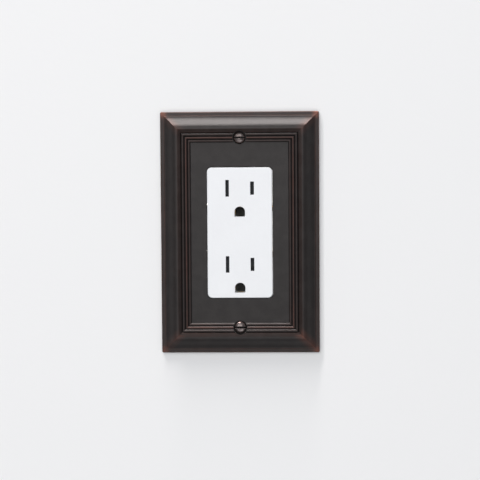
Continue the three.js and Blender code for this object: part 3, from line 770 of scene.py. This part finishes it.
def screw_bronze_material(z):
    """Bronze of a plate screw, rubbed at its rim, with painted shade in its slot."""
    material, bench, at, shader = start_material("Bronze screw")
    finishes = finish_settings()
    x, _, height = bench.apart(bench.scaled(at, (1, 1, 1), (0, 0, -z * MM)))
    reach = bench.math("SQRT", bench.math("MULTIPLY_ADD", x, x, bench.math("MULTIPLY", height, height)))
    rim = bench.math("MULTIPLY", bench.step(reach, 0.0022, 0.0027), bench.step(reach, 0.0031, 0.0028))
    # Painted shade: the band across the slot is made dark and fully metallic.
    slot_shade = bench.step(bench.math("ABSOLUTE", height), 0.00048, 0.0004)
    mask = bench.math("MAXIMUM", bench.math("MULTIPLY", rim, 0.4), 0.1)
    wear = place_group(bench, group_named("Patchy wear", patchy_group), Vector=at, Mask=mask,
                       Amount=0.9)["Wear"]
    marks = place_group(bench, group_named("Handling marks", scratches_group), Vector=at, Fine=3000.0)
    grain = place_group(bench, group_named("Surface grain", grain_group), Vector=at, Fine=3000.0,
                        Coarse=500.0)
    dark = bench.mix(bench.step(grain["Value"], 0.35, 0.65), tuple(c * 4 for c in finishes.bronze),
                     tuple(c * 9 for c in finishes.bronze))
    bench.feed(shader["Base Color"], bench.mix(slot_shade, bench.mix(wear, dark, finishes.copper),
                                               tuple(c * 0.3 for c in finishes.bronze)))
    bench.feed(shader["Metallic"], bench.math("MULTIPLY_ADD", slot_shade, 0.2, 0.8))
    bench.feed(shader["Roughness"], bench.math("MULTIPLY_ADD", marks["Mask"], 0.2, 0.16))
    bench.feed(shader["Normal"], bump(bench, bench.math("ADD", grain["Height"], marks["Height"]), 0.02))
    return material


def plastic_material(name, base, roughness, fine=1400.0, depth=0.006, spread=0.05):
    """Moulded plastic: a faint texture from the mould and a slow change of tone."""
    if name in bpy.data.materials:
        return bpy.data.materials[name]
    material, bench, at, shader = start_material(name)
    grain = place_group(bench, group_named("Surface grain", grain_group), Vector=at, Fine=fine,
                        Coarse=60.0)
    tone = bench.step(grain["Value"], 0.3, 0.7)
    bench.feed(shader["Base Color"], bench.mix(tone, tuple(c * (1 - spread) for c in base),
                                               tuple(min(1, c * (1 + spread)) for c in base)))
    bench.feed(shader["Roughness"], bench.math("MULTIPLY_ADD", grain["Height"], 0.12, roughness - 0.08))
    bench.feed(shader["Normal"], bump(bench, grain["Height"], depth))
    return material


def metal_material(name, base, worn, roughness, metallic=1.0, fine=1800.0, depth=0.008):
    """Pressed or plated metal: grain, handling marks and a duller or brighter tone where worn."""
    if name in bpy.data.materials:
        return bpy.data.materials[name]
    material, bench, at, shader = start_material(name)
    grain = place_group(bench, group_named("Surface grain", grain_group), Vector=at, Fine=fine,
                        Coarse=260.0)
    marks = place_group(bench, group_named("Handling marks", scratches_group), Vector=at, Fine=2600.0)
    wear = place_group(bench, group_named("Patchy wear", patchy_group), Vector=at,
                       Mask=bench.step(grain["Value"], 0.35, 0.75), Amount=0.8)["Wear"]
    worn_share = bench.math("MAXIMUM", wear, bench.math("MULTIPLY", marks["Mask"], 0.5))
    bench.feed(shader["Base Color"], bench.mix(worn_share, base, worn))
    bench.feed(shader["Roughness"], bench.math("MULTIPLY_ADD", worn_share, 0.14, roughness))
    shader["Metallic"].default_value = metallic
    bench.feed(shader["Normal"],
               bump(bench, bench.math("MULTIPLY_ADD", marks["Height"], 0.6, grain["Height"]), depth))
    return material


METALS = {
    "zinc_steel": ("Zinc-plated steel", (0.56, 0.58, 0.60), (0.36, 0.37, 0.38), 0.30, 1.0),
    "brass": ("Strip brass", (0.74, 0.53, 0.24), (0.46, 0.29, 0.12), 0.24, 1.0),
    "nickel": ("Nickel-plated brass", (0.66, 0.64, 0.60), (0.45, 0.43, 0.40), 0.22, 1.0),
    "green_steel": ("Green-dyed steel", (0.035, 0.26, 0.075), (0.20, 0.30, 0.20), 0.32, 0.75),
    "spring_steel": ("Spring wire", (0.42, 0.43, 0.45), (0.26, 0.26, 0.27), 0.28, 1.0),
}


def material_for(slot):
    """The procedural material of one of the record's slots."""
    finishes = finish_settings()
    if slot in METALS:
        name, base, worn, roughness, metallic = METALS[slot]
        return metal_material(name, base, worn, roughness, metallic)
    if slot == "bronze":
        return bronze_material()
    if slot == "white_plastic":
        return plastic_material("White face plastic", tuple(finishes.white), 0.34, spread=0.012)
    if slot == "body_plastic":
        return plastic_material("Housing plastic", (0.62, 0.62, 0.60), 0.55, 900.0, 0.014, 0.05)
    if slot == "grey_plastic":
        return plastic_material("Shutter plastic", (0.060, 0.063, 0.067), 0.45, 1200.0, 0.008, 0.1)
    if slot == "fibre":
        return plastic_material("Pressed fibre", (0.30, 0.19, 0.10), 0.8, 1600.0, 0.03, 0.3)
    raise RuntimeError(f"there is no material for the slot {slot}")


# ---- Stage ---------------------------------------------------------------------------------------

WALL_REACH = 1500
WALL_FACE = 0.3
OPENING_HALF = (30, 48)                 # the device box's opening, along x and z


def wall_material():
    """Painted wall with a faint texture. From behind it is clear and stops no light."""
    material = bpy.data.materials.new("Painted wall")
    material.use_nodes = True
    bench = Bench(material.node_tree)
    at = bench.add("ShaderNodeTexCoord").outputs["Object"]
    peel = bench.noise(at, 3.2, 2.0, 0.4)
    shader = bench.add("ShaderNodeBsdfPrincipled", {"Roughness": 0.6})
    shader.inputs["Base Color"].default_value = (*finish_settings().wall, 1)
    bench.feed(shader.inputs["Normal"], bump(bench, peel, 0.05, 0.6))
    clear = bench.add("ShaderNodeBsdfTransparent")
    behind = bench.add("ShaderNodeNewGeometry").outputs["Backfacing"]
    shadow = bench.add("ShaderNodeLightPath").outputs["Is Shadow Ray"]
    mixed = bench.add("ShaderNodeMixShader", {"Fac": bench.math("MAXIMUM", behind, shadow)})
    bench.feed(mixed.inputs[1], shader.outputs["BSDF"])
    bench.feed(mixed.inputs[2], clear.outputs["BSDF"])
    bench.add("ShaderNodeOutputMaterial", {"Surface": mixed.outputs["Shader"]})
    return material


def model_wall():
    """A wall with the opening of a device box, one sheet of faces that look at the room."""
    deselect_all()
    bpy.ops.mesh.primitive_plane_add(size=2 * WALL_REACH * MM, location=(0, WALL_FACE * MM, 0),
                                     rotation=(math.pi / 2, 0, 0))
    wall = apply_place(bpy.context.object)
    for axis, half in zip((RIGHT, UP), OPENING_HALF):
        for side in (-1, 1):
            edit(wall)
            bpy.ops.mesh.select_all(action="SELECT")
            bpy.ops.mesh.bisect(plane_co=axis * side * half * MM, plane_no=axis)
            end_edit(wall)
    mesh = edit(wall)
    pick(wall, mesh.faces, lambda f: abs(f.calc_center_median().x) < 1 * MM
         and abs(f.calc_center_median().z) < 1 * MM)
    bpy.ops.mesh.delete(type="FACE")
    return end_edit(wall)


# Setting that holds its power, place and size in metres, tint. Each looks at the frame's origin.
LIGHTS = (
    ("key", (-0.35, -2.4, 0.85), (2.4, 1.6), (1, 1, 1)),
    ("front", (0, -1.8, 0), (1.1, 1.1), (1, 1, 1)),
    ("fill", (0.1, -1.9, -1.35), (2.4, 1.0), (1, 1, 1)),
    ("overhead", (0.1, -0.14, 3.0), (5.0, 0.28), (1.0, 0.98, 0.97)),
    ("rear", (0.8, 1.4, 0.7), (1.4, 1.2), (1, 1, 1)),
)


def add_area_light(name, location, size, strength, tint):
    light = bpy.data.lights.new(name, "AREA")
    light.shape = "RECTANGLE"
    light.size, light.size_y = size
    light.energy = strength
    light.color = tint
    obj = bpy.data.objects.new(name, light)
    obj.location = location
    obj.rotation_euler = (-Vector(location)).to_track_quat("-Z", "Y").to_euler()
    obj.visible_camera = False
    bpy.context.scene.collection.objects.link(obj)
    return obj


CAMERA_PLACE = (0.0242, -0.700, 0.0315)
CAMERA_LENS = 102.4
CAMERA_YAW, CAMERA_PITCH, CAMERA_ROLL = 1.990, -2.895, -0.378     # degrees, from looking along +Y


def add_camera():
    """The camera, square on but for a small turn to the left, downwards and about its own line."""
    camera = bpy.data.cameras.new("Camera")
    camera.lens = CAMERA_LENS
    camera.sensor_width = 36
    camera.clip_start, camera.clip_end = 0.01, 20
    obj = bpy.data.objects.new("Camera", camera)
    obj.matrix_world = (Matrix.Translation(CAMERA_PLACE)
                        @ Matrix.Rotation(math.radians(CAMERA_YAW), 4, "Z")
                        @ Matrix.Rotation(math.radians(90 + CAMERA_PITCH), 4, "X")
                        @ Matrix.Rotation(math.radians(CAMERA_ROLL), 4, "Z"))
    bpy.context.scene.collection.objects.link(obj)
    bpy.context.scene.camera = obj
    return obj


def set_world(strength):
    world = bpy.data.worlds.new("Studio")
    world.use_nodes = True
    background = world.node_tree.nodes["Background"]
    background.inputs["Color"].default_value = (0.93, 0.95, 1.0, 1)
    background.inputs["Strength"].default_value = strength
    bpy.context.scene.world = world


# ---- Operators -----------------------------------------------------------------------------------

POLES = (("hot", 1, "brass"), ("neutral", -1, "nickel"))
ENDS = ("top", "bottom")
OUTLETS = ("upper", "lower")


def centre(node):
    """The middle of a frame node's box, in millimetres."""
    low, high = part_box(node)
    return (low + high) / 2 / MM


class WALLPLATE_OT_plate(bpy.types.Operator):
    """Model the cast plate with its moulded border"""

    bl_idname = "wallplate.plate"
    bl_label = "Wall plate"

    def execute(self, context):
        low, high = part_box("wall_plate")
        heights = [centre(f"plate_screw_{end}").z for end in ENDS]
        plate = model_plate(plate_settings(), high.x / MM, high.z / MM, heights)
        settle(plate, "wall_plate_cast", "cover_plate", "bronze", material_for("bronze"), "wall_plate")
        return {"FINISHED"}


class WALLPLATE_OT_plate_screws(bpy.types.Operator):
    """Model the two oval-head screws that hold the plate"""

    bl_idname = "wallplate.plate_screws"
    bl_label = "Plate screws"

    def execute(self, context):
        for end in ENDS:
            node = f"plate_screw_{end}"
            z = centre(node).z
            settle(model_plate_screw(z), node + "_turned", node, "bronze_screw",
                   screw_bronze_material(z), node)
        return {"FINISHED"}


class WALLPLATE_OT_face(bpy.types.Operator):
    """Model the white face, its shutters, their springs and the plate behind them"""

    bl_idname = "wallplate.face"
    bl_label = "Face and shutters"

    def execute(self, context):
        settle(model_face(), "face_cover_moulded", "receptacle", "white_plastic",
               material_for("white_plastic"), "face_cover")
        settle(refine("shutter_retainer", 0.12), "shutter_retainer_moulded", "receptacle",
               "body_plastic", material_for("body_plastic"), "shutter_retainer")
        for outlet in OUTLETS:
            shutter, spring = f"shutter_{outlet}", f"shutter_spring_{outlet}"
            settle(refine(shutter, 0.15), shutter + "_moulded", shutter, "grey_plastic",
                   material_for("grey_plastic"), shutter)
            coil = settle(model_spring(spring), spring + "_wound", "receptacle", "spring_steel",
                          material_for("spring_steel"), spring)
            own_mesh(coil)
        return {"FINISHED"}


class WALLPLATE_OT_strap(bpy.types.Operator):
    """Model the strap with its mounting screws, washers and ground screw"""

    bl_idname = "wallplate.strap"
    bl_label = "Mounting strap"

    def execute(self, context):
        settle(refine("mounting_strap", 0.16), "mounting_strap_pressed", "receptacle", "zinc_steel",
               material_for("zinc_steel"), "mounting_strap")
        for end in ENDS:
            node = f"mounting_screw_{end}"
            settle(model_mounting_screw(centre(node).z), node + "_turned", node, "zinc_steel",
                   material_for("zinc_steel"), node)
            washer = f"screw_washer_{end}"
            settle(refine(washer, 0.12), washer + "_punched", "receptacle", "fibre",
                   material_for("fibre"), washer)
        at = centre("ground_screw")
        settle(model_ground_screw(at.y, at.z), "ground_screw_turned", "ground_screw", "green_steel",
               material_for("green_steel"), "ground_screw")
        return {"FINISHED"}


class WALLPLATE_OT_contacts(bpy.types.Operator):
    """Model the contact strips with their terminal screws, pressure plates and rivets"""

    bl_idname = "wallplate.contacts"
    bl_label = "Contacts and terminals"

    def execute(self, context):
        for pole, side, metal in POLES:
            strip = f"{pole}_contact_strip"
            settle(refine(strip, 0.08), strip + "_pressed", "receptacle", metal, material_for(metal),
                   strip)
            for outlet in OUTLETS:
                screw, clamp = f"{pole}_screw_{outlet}", f"{pole}_clamp_{outlet}"
                at = centre(screw)
                settle(model_terminal_screw(side, at.y, at.z), screw + "_turned", screw, metal,
                       material_for(metal), screw)
                settle(refine(clamp, 0.14), clamp + "_pressed", clamp, metal, material_for(metal), clamp)
        settle(refine("ground_contact_strip", 0.08), "ground_contact_strip_pressed", "receptacle",
               "brass", material_for("brass"), "ground_contact_strip")
        for outlet in OUTLETS:
            rivet = f"ground_rivet_{outlet}"
            settle(refine(rivet, 0.14), rivet + "_set", "receptacle", "brass", material_for("brass"),
                   rivet)
        return {"FINISHED"}


class WALLPLATE_OT_housing(bpy.types.Operator):
    """Model the rear housing and the four screws that join it to the face"""

    bl_idname = "wallplate.housing"
    bl_label = "Rear housing"

    def execute(self, context):
        settle(refine("back_body", 0.3), "back_body_moulded", "receptacle", "body_plastic",
               material_for("body_plastic"), "back_body")
        for side in ("right", "left"):
            for level in OUTLETS:
                node = f"housing_screw_{level}_{side}"
                settle(model_housing_screw(node), node + "_turned", "receptacle", "zinc_steel",
                       material_for("zinc_steel"), node)
        return {"FINISHED"}


class WALLPLATE_OT_stage(bpy.types.Operator):
    """Set up the wall, the lights and the camera"""

    bl_idname = "wallplate.stage"
    bl_label = "Stage"

    def execute(self, context):
        wall = model_wall()
        wall.name = wall.data.name = "stage_wall"
        wall.data.materials.append(wall_material())
        lights = context.scene.wall_plate_lights
        set_world(lights.surroundings)
        for setting, place, size, tint in LIGHTS:
            add_area_light(setting.capitalize(), place, size, getattr(lights, setting), tint)
        add_camera()
        return {"FINISHED"}


MAKERS = (WALLPLATE_OT_plate, WALLPLATE_OT_plate_screws, WALLPLATE_OT_face, WALLPLATE_OT_strap,
          WALLPLATE_OT_contacts, WALLPLATE_OT_housing, WALLPLATE_OT_stage)


class WALLPLATE_PT_panel(bpy.types.Panel):
    """Lists the pieces and their settings"""

    bl_idname = "WALLPLATE_PT_panel"
    bl_label = "Wall plate"
    bl_space_type = "VIEW_3D"
    bl_region_type = "UI"
    bl_category = "Wall plate"

    def draw(self, context):
        layout = self.layout
        for group in SETTINGS:
            box = layout.box()
            settings = getattr(context.scene, group)
            for key in settings.bl_rna.properties.keys():
                if key not in ("rna_type", "name"):
                    box.prop(settings, key)
        for maker in MAKERS:
            layout.operator(maker.bl_idname)


SETTINGS = {"wall_plate_sizes": PlateSettings, "wall_plate_finishes": FinishSettings,
            "wall_plate_lights": LightSettings}


def register():
    for kind in (*SETTINGS.values(), *MAKERS, WALLPLATE_PT_panel):
        bpy.utils.register_class(kind)
    for name, kind in SETTINGS.items():
        setattr(bpy.types.Scene, name, PointerProperty(type=kind))


def unregister():
    for name in SETTINGS:
        delattr(bpy.types.Scene, name)
    for kind in reversed((*SETTINGS.values(), *MAKERS, WALLPLATE_PT_panel)):
        bpy.utils.unregister_class(kind)


def main():
    register()
    bpy.context.scene.view_settings.view_transform = "Standard"
    bpy.ops.wallplate.plate()
    bpy.ops.wallplate.plate_screws()
    bpy.ops.wallplate.face()
    bpy.ops.wallplate.strap()
    bpy.ops.wallplate.contacts()
    bpy.ops.wallplate.housing()
    bpy.ops.wallplate.stage()


if __name__ == "__main__":
    main()
